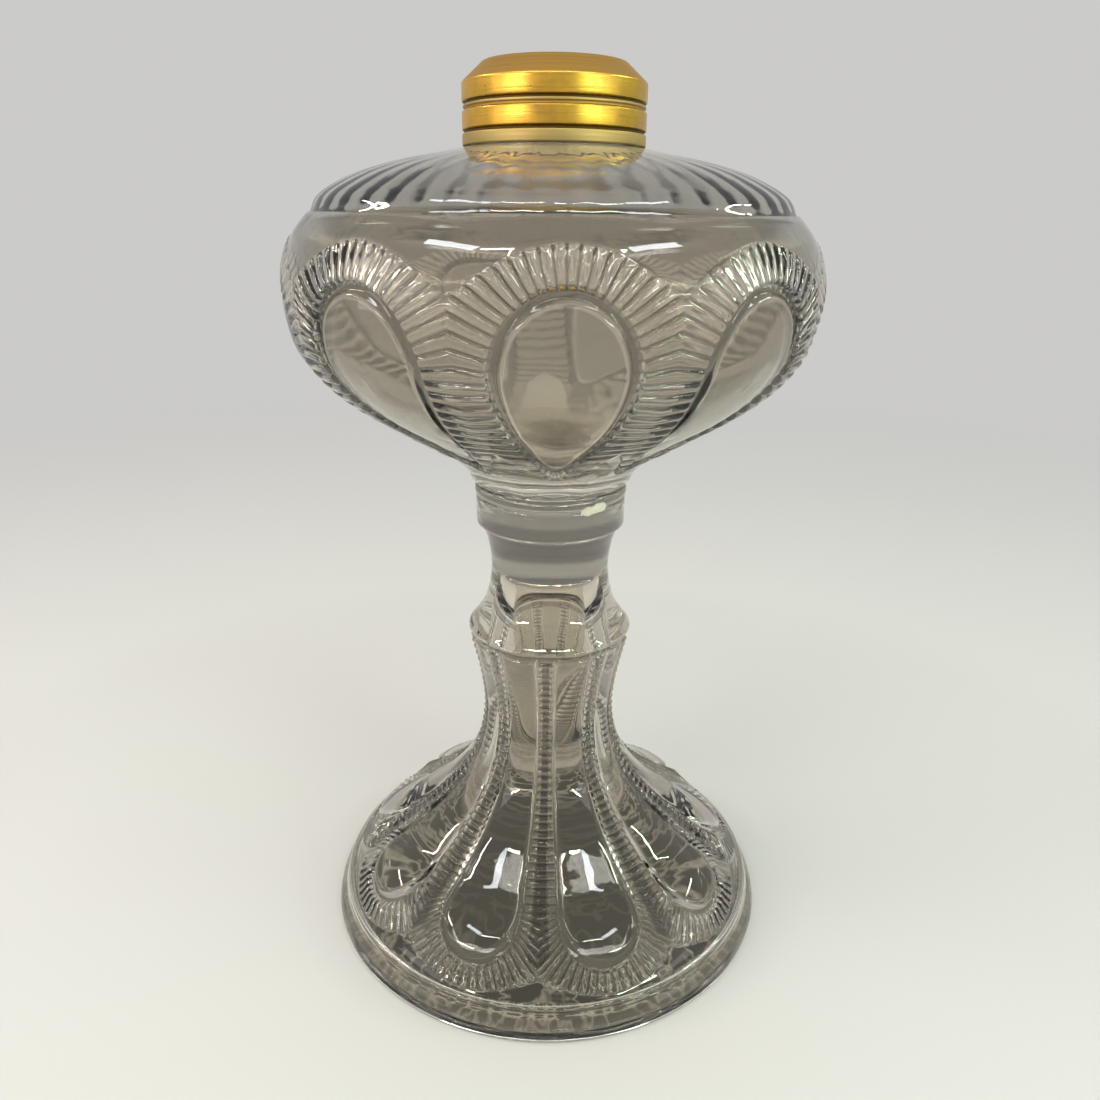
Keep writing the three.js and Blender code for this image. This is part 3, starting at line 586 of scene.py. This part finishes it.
def make_pedestal(glass, fused):
    radius, stem = skirt_outline(), stem_outline()
    shell = Shell()
    azimuth, height, relief, place, tone = petal(radius)
    relief = skirt_relief(radius, height, relief, place)
    for side in (1, -1):
        shell.carved(FOOT_TURN, side * azimuth, radius, height, relief, tone)
    share = np.linspace(-1, 1, 2 * END_RIBS * RIB_STEPS + 1)
    low = HALF_LOOP * share
    height, edge_relief, tone = skirt_edge(radius, share)
    shell.carved(FOOT_TURN, low[None, :], radius, height, edge_relief, tone)

    # Rim and hollow
    ring = loop_ring(low, FOOT_TURN)
    edge = on_outline(radius, ring, RIM_TOP + 0 * ring, edge_relief[-1][0])
    rim = [(np.hypot(edge[0, 0], edge[0, 1]), edge[0, 2])] + RIM
    rise = np.array(rim)[:, 1:]
    # The rim gets painted highlights, with painted shade in the crease and in the band under its bead
    shell.turned(rim, ring, tone=dark_band(CREASE, rise) + dark_band(UNDER_BEAD, rise) + RIM_TONE)
    z = np.linspace(0.15, 103.6, 60)
    shell.turned(list(zip(hollow_outline(radius)(z), z)) + HOLLOW_TOP, ring)

    # Cove with the ends of petals and columns, knop and stem. The glass over the hollow is thick and
    # looks darker, and the dip under the knop gets painted shade.
    top = np.concatenate([-azimuth[::-1, 0], azimuth[1:, 0]])
    pleat = np.concatenate([relief[::-1, 0], relief[1:, 0]])
    rows = [(z + 0 * top, dip + keep * pleat) for z, dip, keep in COVE_ROWS]
    rows += [(z + 0 * top, 0 * top) for z in STEM_ROWS]
    height, stem_relief = stacked(rows)
    tone = dark_band(SOLID_STEM, height) + dark_band(COVE, height)

    def knop(turned):
        skirt_part = on_outline(radius, turned, height[:1], stem_relief[:1])
        return np.concatenate([skirt_part, on_outline(stem, turned, height[1:], stem_relief[1:])])

    shell.loops(FOOT_TURN, top[None, :], knop, tone)

    # Cap, and the face that is fused to the wafer
    ring = loop_ring(top, FOOT_TURN)
    start = on_outline(stem, ring, CAP_BASE + 0 * ring, 0 * ring)
    cap_radius, cap_height = np.array(CAP).T[..., None]
    cap = np.concatenate([start[None], spin(cap_radius, ring[None], cap_height)])
    shell.grid(cap, tone=np.vstack([[[0]], CAP_TONE + dark_band(CAP_BAND, cap_height)]))
    shell.turned([(CAP_RADIUS, PEDESTAL_TOP), (0, PEDESTAL_TOP)], ring, 1)
    return shell.build("pedestal", [glass, fused])


# Wafer
WAFER_EDGE = 20.35
WAFER_SIDE = [
    (WAFER_EDGE, WAFER_BASE), (20.65, WAFER_BASE + 0.25), (20.85, WAFER_BASE + 0.7),
    (20.9, WAFER_BASE + 1.5), (20.85, WAFER_TOP - 0.7), (20.65, WAFER_TOP - 0.25),
    (WAFER_EDGE, WAFER_TOP),
]
WAFER_TONE = 0.8
BUBBLE_RADIUS, BUBBLE_DEPTH = 20.6, 0.75  # where the bubbles' middles lie, and half their thickness
# Azimuth, lift, half width and half height
BUBBLES = [(28.2, 0.0, 2.1, 1.6), (32.8, 0.2, 2.3, 1.5), (37.8, 0.5, 2.1, 1.9)]


def make_wafer(glass, fused):
    shell = Shell()
    ring = np.linspace(0, 360, 181)
    side_radius, side_height = np.array(WAFER_SIDE).T[..., None]
    band = WAFER_TONE * smooth(WAFER_BASE + 0.2, WAFER_BASE + 0.9, side_height)
    shell.grid(spin(side_radius, ring[None], side_height), tone=band)
    for height in (WAFER_BASE, WAFER_TOP):
        shell.turned([(WAFER_EDGE, height), (0, height)], ring, 1)
    return shell.build("wafer", [glass, fused])


def make_bubbles(made):
    """A cluster of flat bubbles at the wafer's surface, a common flaw of such a joint. Their pale matt
    colour is a painted reflection, standing in for the silvery sheen that air bubbles in glass show.
    """
    shell = Shell()
    turn, rise = np.meshgrid(np.radians(np.linspace(0, 360, 25)), np.radians(np.linspace(-90, 90, 13)))
    for azimuth, lift, wide, tall in BUBBLES:
        lump = 1 + 0.12 * np.sin(3 * turn + azimuth) * np.cos(rise) + 0.1 * np.cos(2 * rise + azimuth)
        across = wide * lump * np.cos(rise) * np.cos(turn)
        depth = BUBBLE_DEPTH * lump * np.cos(rise) * np.sin(turn)
        up = tall * lump * np.sin(rise)
        azimuths = azimuth + np.degrees(across / BUBBLE_RADIUS)
        shell.grid(spin(BUBBLE_RADIUS + depth, azimuths, WAFER_BASE + lift + up * 0.8))
    return shell.build("wafer_bubbles", [made])


# Collar: heights are above its base
BEVEL_BASE = 13.7
LIP_BORE = 15.95
LIP_RADIUS = 17.35
LIP_THICKNESS = 0.8
CORNER, CORNER_STEPS = 0.35, 3  # the rounding of its corners
GROOVE, LEDGE = COLLAR_RADIUS - 0.5, COLLAR_RADIUS - 0.25
COLLAR_PROFILE = [
    (21.5, 0), (COLLAR_RADIUS, 0), (COLLAR_RADIUS, 2.6), (GROOVE, 2.75), (GROOVE, 3.25),
    (COLLAR_RADIUS, 3.45), (COLLAR_RADIUS, 7.45), (GROOVE, 7.65), (GROOVE, 8.2), (LEDGE, 8.35),
    (LEDGE, 8.8), (GROOVE, 8.95), (GROOVE, 9.35), (COLLAR_RADIUS, 9.6), (COLLAR_RADIUS, BEVEL_BASE),
    (17.85, 17.6), (LIP_RADIUS, COLLAR_HEIGHT), (LIP_BORE, COLLAR_HEIGHT), (LIP_BORE, 17.3),
    (LIP_RADIUS, 17.3), (SHELL_BORE, 13.6), (SHELL_BORE, 0), (21.5, 0),
]


def rounded(profile):
    """A profile with its corners rounded."""
    points = [np.array(p, float) for p in profile]
    result = [points[0]]
    for before, corner, after in zip(points, points[1:], points[2:]):
        to_before, to_after = before - corner, after - corner
        reach = min(CORNER, np.hypot(*to_before) * 0.45, np.hypot(*to_after) * 0.45)
        start = corner + to_before / np.hypot(*to_before) * reach
        end = corner + to_after / np.hypot(*to_after) * reach
        for t in np.linspace(0, 1, CORNER_STEPS + 1):
            result.append(mix(mix(start, corner, t), mix(corner, end, t), t))
    result.append(points[-1])
    return result


def make_collar(brass):
    shell = Shell()
    profile = [(r, COLLAR_BASE + h) for r, h in rounded(COLLAR_PROFILE)]
    shell.turned(profile, np.linspace(0, 360, 181))
    return shell.build("collar", [brass])


def make_sleeve(brass):
    base, top = COLLAR_BASE + 0.6, COLLAR_TOP - LIP_THICKNESS - GAP
    ring = np.linspace(0, 360, 121)[None, :]
    z = np.linspace(top, base, 90)[:, None]
    strength = np.clip(np.minimum(z - base, top - z) / THREAD_PITCH, 0, 1)
    phase = (z - base) / THREAD_PITCH - ring / 360
    depth = THREAD_DEPTH * strength * (0.5 - 0.5 * np.cos(2 * np.pi * phase))
    bore = spin(THREAD_CREST + depth, ring, z)
    outside = spin(SLEEVE_RADIUS, ring, np.array([[base], [top]]))
    shell = Shell()
    shell.grid(np.concatenate([outside, bore, outside[:1]]))
    return shell.build("thread_sleeve", [brass])


def make_plaster(plaster):
    base, neck_top = COLLAR_BASE + 0.5, NECK_TOP + GAP
    top = neck_top + 0.6
    outer, bore = SHELL_BORE - GAP, SLEEVE_RADIUS + GAP
    inside, outside = NECK_BORE - GAP, NECK_RADIUS + GAP
    profile = [
        (outer, base), (outer, top), (bore, top), (bore, base), (inside, base), (inside, neck_top),
        (outside, neck_top), (outside, base), (outer, base),
    ]
    shell = Shell()
    shell.turned(profile, np.linspace(0, 360, 121))
    return shell.build("plaster_bed", [plaster])


# Materials


class Nodes:
    """Short forms for building a node tree."""

    def __init__(self, tree):
        self.tree = tree
        tree.nodes.clear()

    def add(self, kind, **inputs):
        node = self.tree.nodes.new(kind)
        for name, value in inputs.items():
            self.set(node, name.replace("_", " "), value)
        return node

    def set(self, node, socket, value):
        target = node.inputs[socket]
        if isinstance(value, bpy.types.NodeSocket):
            self.tree.links.new(value, target)
        else:
            target.default_value = value

    def noise(self, vector, scale, detail=2.0, roughness=0.5):
        inputs = {"Vector": vector, "Scale": scale, "Detail": detail, "Roughness": roughness}
        return self.add("ShaderNodeTexNoise", **inputs).outputs["Fac"]

    def place(self, scale=(1, 1, 1)):
        """Object coordinates, in metres, stretched along the axes."""
        place = self.add("ShaderNodeTexCoord").outputs["Object"]
        return self.add("ShaderNodeMapping", Vector=place, Scale=scale).outputs["Vector"]

    def axis(self, vector, name):
        return self.add("ShaderNodeSeparateXYZ", Vector=vector).outputs[name]

    def ramp(self, value, low, high, start=0.0, end=1.0):
        """From low at start to high at end."""
        inputs = {"Value": value, "From Min": start, "From Max": end, "To Min": low, "To Max": high}
        return self.add("ShaderNodeMapRange", **inputs).outputs["Result"]

    def blend(self, share, a, b):
        """From colour a to colour b."""
        node = self.add("ShaderNodeMix")
        node.data_type = "RGBA"
        self.set(node, 0, share)
        self.set(node, 6, a)
        self.set(node, 7, b)
        return node.outputs[2]

    def total(self, operation, a, b):
        node = self.add("ShaderNodeMath")
        node.operation = operation
        self.set(node, 0, a)
        self.set(node, 1, b)
        return node.outputs[0]

    def bump(self, height, strength, distance):
        bump = self.add("ShaderNodeBump", Height=height, Strength=strength, Distance=distance)
        return bump.outputs["Normal"]

    def either(self, share, first, second):
        """From one shader to another."""
        choice = self.add("ShaderNodeMixShader")
        self.set(choice, 0, share)
        self.set(choice, 1, first.outputs[0])
        self.set(choice, 2, second.outputs[0])
        return choice

    def surface(self, shader, kind="ShaderNodeOutputMaterial"):
        self.add(kind, Surface=shader.outputs[0])


def material(name):
    made = bpy.data.materials.new(name)
    made.use_nodes = True
    return made, Nodes(made.node_tree)


def scaled(colour, *factors):
    """A colour times one factor, or times one for each channel."""
    red, green, blue = factors if len(factors) == 3 else factors * 3
    return (min(colour[0] * red, 1), min(colour[1] * green, 1), min(colour[2] * blue, 1), 1)


BLOWN = (0.84, 0.785, 0.685, 1)
PRESSED = (0.77, 0.72, 0.625, 1)
# The colour of the painted highlights on the glass
PAINTED_HIGHLIGHT = (0.97, 0.955, 0.925, 1)
GLASS_SHADOW = (0.63, 0.615, 0.585, 1)
CLEAR = (1, 1, 1, 1)
# Pale matt colours of the bubbles, a painted reflection
BUBBLE_CREAM, BUBBLE_WHITE = (0.62, 0.6, 0.46, 1), (0.9, 0.88, 0.74, 1)
COLLAR_BRIGHT, COLLAR_DULL = (0.76, 0.43, 0.06, 1), (0.54, 0.33, 0.06, 1)
THREAD_BRIGHT, THREAD_DULL = (0.6, 0.42, 0.16, 1), (0.32, 0.21, 0.08, 1)
BRASS_SPECK = (0.2, 0.12, 0.03, 1)
TAN_BRASS = (0.5, 0.29, 0.07, 1)
PALE_BRASS = (0.5, 0.37, 0.14, 1)
DULL_BRASS = (0.36, 0.22, 0.05, 1)
DARK_BRASS = (0.1, 0.058, 0.012, 1)
PLASTER_GREY, PLASTER_WHITE = (0.62, 0.57, 0.48, 1), (0.8, 0.77, 0.7, 1)
COLLAR_ZONES = [  # from one height above the collar's base to another
    (-1, 2.6, PALE_BRASS), (BEVEL_BASE, COLLAR_HEIGHT + 1, TAN_BRASS), (2.68, 3.4, DARK_BRASS),
    (7.52, 8.3, DULL_BRASS), (8.3, 8.86, PALE_BRASS), (8.86, 9.5, DARK_BRASS),
]


def glass_material(name, tint, smoothest=0.0):
    """Clear glass whose colour takes the mesh's tones, as painted shade and painted highlights. Shadows
    and bounced light pass straight through it.
    """
    made, nodes = material(name)
    place = nodes.place()
    soft = nodes.noise(place, 90)
    fine = nodes.noise(place, 700)
    body = nodes.add("ShaderNodeBsdfPrincipled", IOR=1.5, Transmission_Weight=1.0)
    shade_and_highlight = nodes.add("ShaderNodeAttribute")
    shade_and_highlight.attribute_name = "shade_and_highlight"
    tone = shade_and_highlight.outputs["Fac"]
    colour = nodes.blend(nodes.noise(place, 35, 3), tint, scaled(tint, 1.03))
    # Negative tones paint highlights, towards a pale colour; positive tones paint shade, towards a dark
    # one
    colour = nodes.blend(nodes.total("MULTIPLY", tone, -1), colour, PAINTED_HIGHLIGHT)
    nodes.set(body, "Base Color", nodes.blend(tone, colour, scaled(tint, 0.16)))
    nodes.set(body, "Roughness", nodes.ramp(fine, smoothest, smoothest + 0.05, 0.35, 0.75))
    nodes.set(body, "Normal", nodes.bump(soft, 0.15, 0.0006))
    through = nodes.add("ShaderNodeBsdfTransparent", Color=GLASS_SHADOW)
    rays = nodes.add("ShaderNodeLightPath").outputs
    straight = nodes.total("MAXIMUM", rays["Is Shadow Ray"], rays["Is Diffuse Ray"])
    nodes.surface(nodes.either(straight, body, through))
    return made


def fused_material():
    """The faces where two pieces of glass are fused, which don't show."""
    made, nodes = material("fused_face")
    nodes.surface(nodes.add("ShaderNodeBsdfTransparent", Color=CLEAR))
    return made


def grained_material(name, rough, grain_kind, dark, pale, bump):
    """A plain material with a fine grain in its colour and its surface."""
    made, nodes = material(name)
    grain = nodes.noise(nodes.place(), *grain_kind)
    body = nodes.add("ShaderNodeBsdfPrincipled", Roughness=rough)
    nodes.set(body, "Base Color", nodes.blend(grain, dark, pale))
    nodes.set(body, "Normal", nodes.bump(grain, bump, 0.0002))
    nodes.surface(body)
    return made


def brass_material(name, bright, dull, rough, zones=()):
    """Lathe-brushed brass, with plainer zones of another tone."""
    made, nodes = material(name)
    lathe = nodes.noise(nodes.place((12, 12, 2600)), 1, 3, 0.6)
    patches = nodes.noise(nodes.place(), 160, 4, 0.6)
    specks = nodes.noise(nodes.place(), 900)
    body = nodes.add("ShaderNodeBsdfPrincipled", Metallic=1.0)
    across, height = nodes.axis(nodes.place(), "X"), nodes.axis(nodes.place(), "Z")
    painted_green_side = scaled(bright, 0.84, 0.95, 0.8)  # a painted reflection makes the brass greener on one side, towards +X
    colour = nodes.blend(nodes.ramp(across, 0, 1, -0.002, 0.014), bright, painted_green_side)
    colour = nodes.blend(nodes.ramp(patches, 0, 1, 0.42, 0.72), colour, dull)
    colour = nodes.blend(nodes.ramp(specks, 0, 0.6, 0.7, 0.78), colour, BRASS_SPECK)
    brushed = nodes.ramp(lathe, rough, rough + 0.18, 0.3, 0.7)
    for low, high, tone in zones:
        low, high, soft = (COLLAR_BASE + low) * MM, (COLLAR_BASE + high) * MM, 0.12 * MM
        rise = nodes.ramp(height, 0, 1, low - soft, low + soft)
        fall = nodes.ramp(height, 1, 0, high - soft, high + soft)
        zone = nodes.total("MULTIPLY", rise, fall)
        colour = nodes.blend(zone, colour, tone)
        brushed = nodes.total("ADD", brushed, nodes.total("MULTIPLY", zone, 0.2))
    nodes.set(body, "Base Color", colour)
    nodes.set(body, "Roughness", brushed)
    nodes.set(body, "Normal", nodes.bump(lathe, 0.35, 0.00012))
    nodes.surface(body)
    return made


clear_glass = glass_material("clear_glass", PRESSED)
blown_glass = glass_material("blown_glass", BLOWN)
hazed_glass = glass_material("hazed_glass", BLOWN, 0.07)
fused_face = fused_material()
collar_brass = brass_material("collar_brass", COLLAR_BRIGHT, COLLAR_DULL, 0.24, COLLAR_ZONES)
thread_brass = brass_material("thread_brass", THREAD_BRIGHT, THREAD_DULL, 0.34)
white_plaster = grained_material("plaster_matt", 0.95, (1500, 4, 0.7), PLASTER_GREY, PLASTER_WHITE, 0.5)
# The bubbles' pale matt colour is a painted reflection
bubble_painted_sheen = grained_material("bubble_painted_sheen", 0.25, (1200, 3), BUBBLE_CREAM, BUBBLE_WHITE, 0.4)


def add_piece(piece, node=None):
    if node:
        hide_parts(node)
    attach(piece, "root")


add_piece(make_font(blown_glass, fused_face, hazed_glass), "glass_font")
add_piece(make_wafer(clear_glass, fused_face), "joining_wafer")
add_piece(make_bubbles(bubble_painted_sheen))
add_piece(make_pedestal(clear_glass, fused_face), "glass_pedestal")
add_piece(make_collar(collar_brass), "collar_shell")
add_piece(make_sleeve(thread_brass), "threaded_sleeve")
add_piece(make_plaster(white_plaster), "bedding_plaster")


# Stage: a pale round floor that sweeps up into a wall
FLOOR_DEEP = (0.6, 0.59, 0.575, 1)
FLOOR_PALE = (0.63, 0.62, 0.605, 1)
BACKDROP = (0.6, 0.595, 0.585, 1)
UNDER_FOOT_SHADOW = (0.16, 0.154, 0.145, 1)  # painted shadow under the foot
# painted bright lines across that shadow, standing in for the light that the glass gathers there
UNDER_FOOT_CAUSTIC = (0.92, 0.9, 0.87, 1)
FLOOR_HEIGHT = -0.5
FLOOR_RADIUS, SWEEP, WALL = 1500, 500, 300


def stage_material():
    made, nodes = material("stage_pale")
    place = nodes.place()
    body = nodes.add("ShaderNodeBsdfPrincipled", Roughness=0.8)
    length = nodes.add("ShaderNodeVectorMath")
    length.operation = "LENGTH"
    nodes.set(length, 0, place)
    distance = length.outputs["Value"]
    plain = nodes.blend(nodes.noise(place, 3), FLOOR_DEEP, FLOOR_PALE)
    # Under the foot the floor is painted with a shadow, crossed by painted bright lines that stand in
    # for the light the glass gathers there
    off = nodes.total("ABSOLUTE", nodes.total("SUBTRACT", nodes.noise(place, 170), 0.5), 0)
    line, fading = nodes.ramp(off, 1, 0, 0, 0.06), nodes.ramp(distance, 0.1, 1, 0.034, 0.05)
    painted_shadow_and_caustics = nodes.blend(nodes.total("MULTIPLY", line, fading), UNDER_FOOT_SHADOW, UNDER_FOOT_CAUSTIC)
    under = nodes.ramp(distance, 1, 0, 0.057, 0.064)
    nodes.set(body, "Base Color", nodes.blend(under, plain, painted_shadow_and_caustics))
    far = nodes.add("ShaderNodeEmission", Color=BACKDROP, Strength=1.0)
    share = nodes.ramp(distance, 0, 1, 0.18, 0.85)
    rays = nodes.add("ShaderNodeLightPath").outputs
    seen = nodes.total("MAXIMUM", rays["Is Camera Ray"], rays["Is Glossy Ray"])
    seen = nodes.total("MAXIMUM", seen, rays["Is Transmission Ray"])
    nodes.surface(nodes.either(nodes.total("MULTIPLY", share, seen), body, far))
    return made


def make_stage():
    profile = [(r, FLOOR_HEIGHT) for r in (0, 200, 500, 900)]
    for a in np.linspace(0, math.pi / 2, 14):
        profile.append((FLOOR_RADIUS + SWEEP * math.sin(a), FLOOR_HEIGHT + SWEEP * (1 - math.cos(a))))
    profile.append((FLOOR_RADIUS + SWEEP, SWEEP + WALL))
    shell = Shell()
    shell.turned(profile, np.linspace(0, 360, 97))
    shell.build("stage", [stage_material()])


def area_light(name, place, target, width, height, power, colour=(1, 1, 1)):
    light = bpy.data.lights.new(name, "AREA")
    light.shape = "RECTANGLE"
    light.size, light.size_y = width, height
    light.energy = power
    light.color = colour
    lamp = bpy.data.objects.new(name, light)
    lamp.location = place
    lamp.rotation_euler = (Vector(target) - Vector(place)).to_track_quat("-Z", "Y").to_euler()
    bpy.context.scene.collection.objects.link(lamp)
    return lamp


def make_lights():
    warm, cool, blue = (1, 0.88, 0.74), (0.83, 1, 0.76), (0.9, 0.95, 1)
    broad = [  # these light the scene but show neither in the glass nor through it
        area_light("top", (0.0, 0.2, 1.6), (0, 0, 0.1), 0.9, 0.9, 3.2),
        area_light("key", (-1.0, -0.1, 1.2), (0, 0, 0.12), 0.6, 0.6, 3.2, warm),
    ]
    for lamp in broad:
        lamp.visible_transmission = lamp.visible_glossy = False
    for side, tone in ((-1, warm), (1, cool)):  # these give the glass and the brass their highlights
        area_light("tube", (0.3 * side, -0.75, 1.15), (0.15 * side, 0, 0), 0.46, 0.035, 2.3, tone)
        area_light("side_strip", (0.95 * side, 0.05, 0.75), (0, 0, 0.1), 0.5, 0.03, 2.3, tone)
        area_light("low_strip", (0.75 * side, -0.75, 0.4), (0, 0, 0.1), 0.4, 0.03, 2.2, tone)
        area_light("window", (0.56 * side, -0.42, 0.98), (0, 0, 0.03), 0.36, 0.09, 1.7, blue)
        area_light("low_side", (1.05 * side, -0.5, 0.34), (0, 0, 0.2), 0.55, 0.3, 0.9)


def make_world():
    """A soft surround, a little darker above."""
    world = bpy.data.worlds.new("studio")
    bpy.context.scene.world = world
    world.use_nodes = True
    sky = Nodes(world.node_tree)
    direction = sky.add("ShaderNodeTexCoord").outputs["Generated"]
    strength = sky.ramp(sky.axis(direction, "Z"), 0.62, 0.5, 0.3, 0.8)
    background = sky.add("ShaderNodeBackground", Color=(0.96, 0.98, 1.0, 1), Strength=strength)
    sky.surface(background, "ShaderNodeOutputWorld")


make_stage()
make_lights()
make_world()

# Camera at the photograph's angle, in metres
FRAME_PX, FOCAL_PX = 1100, 895
SENSOR = 36
LOOK_DOWN, ROLL = 20.66, 0.58  # degrees
CAMERA_PLACE = (0, -0.2385, 0.2021)
camera_data = bpy.data.cameras.new("camera")
camera_data.sensor_width = SENSOR
camera_data.lens = SENSOR * FOCAL_PX / FRAME_PX
camera_data.clip_start = 0.01
camera = bpy.data.objects.new("camera", camera_data)
pitch, roll = math.radians(90 - LOOK_DOWN), math.radians(ROLL)
turn = Matrix.Rotation(pitch, 3, "X") @ Matrix.Rotation(roll, 3, "Z")
camera.rotation_euler = turn.to_euler()
camera.location = CAMERA_PLACE
bpy.context.scene.collection.objects.link(camera)
bpy.context.scene.camera = camera
bpy.context.scene.view_settings.view_transform = "Standard"
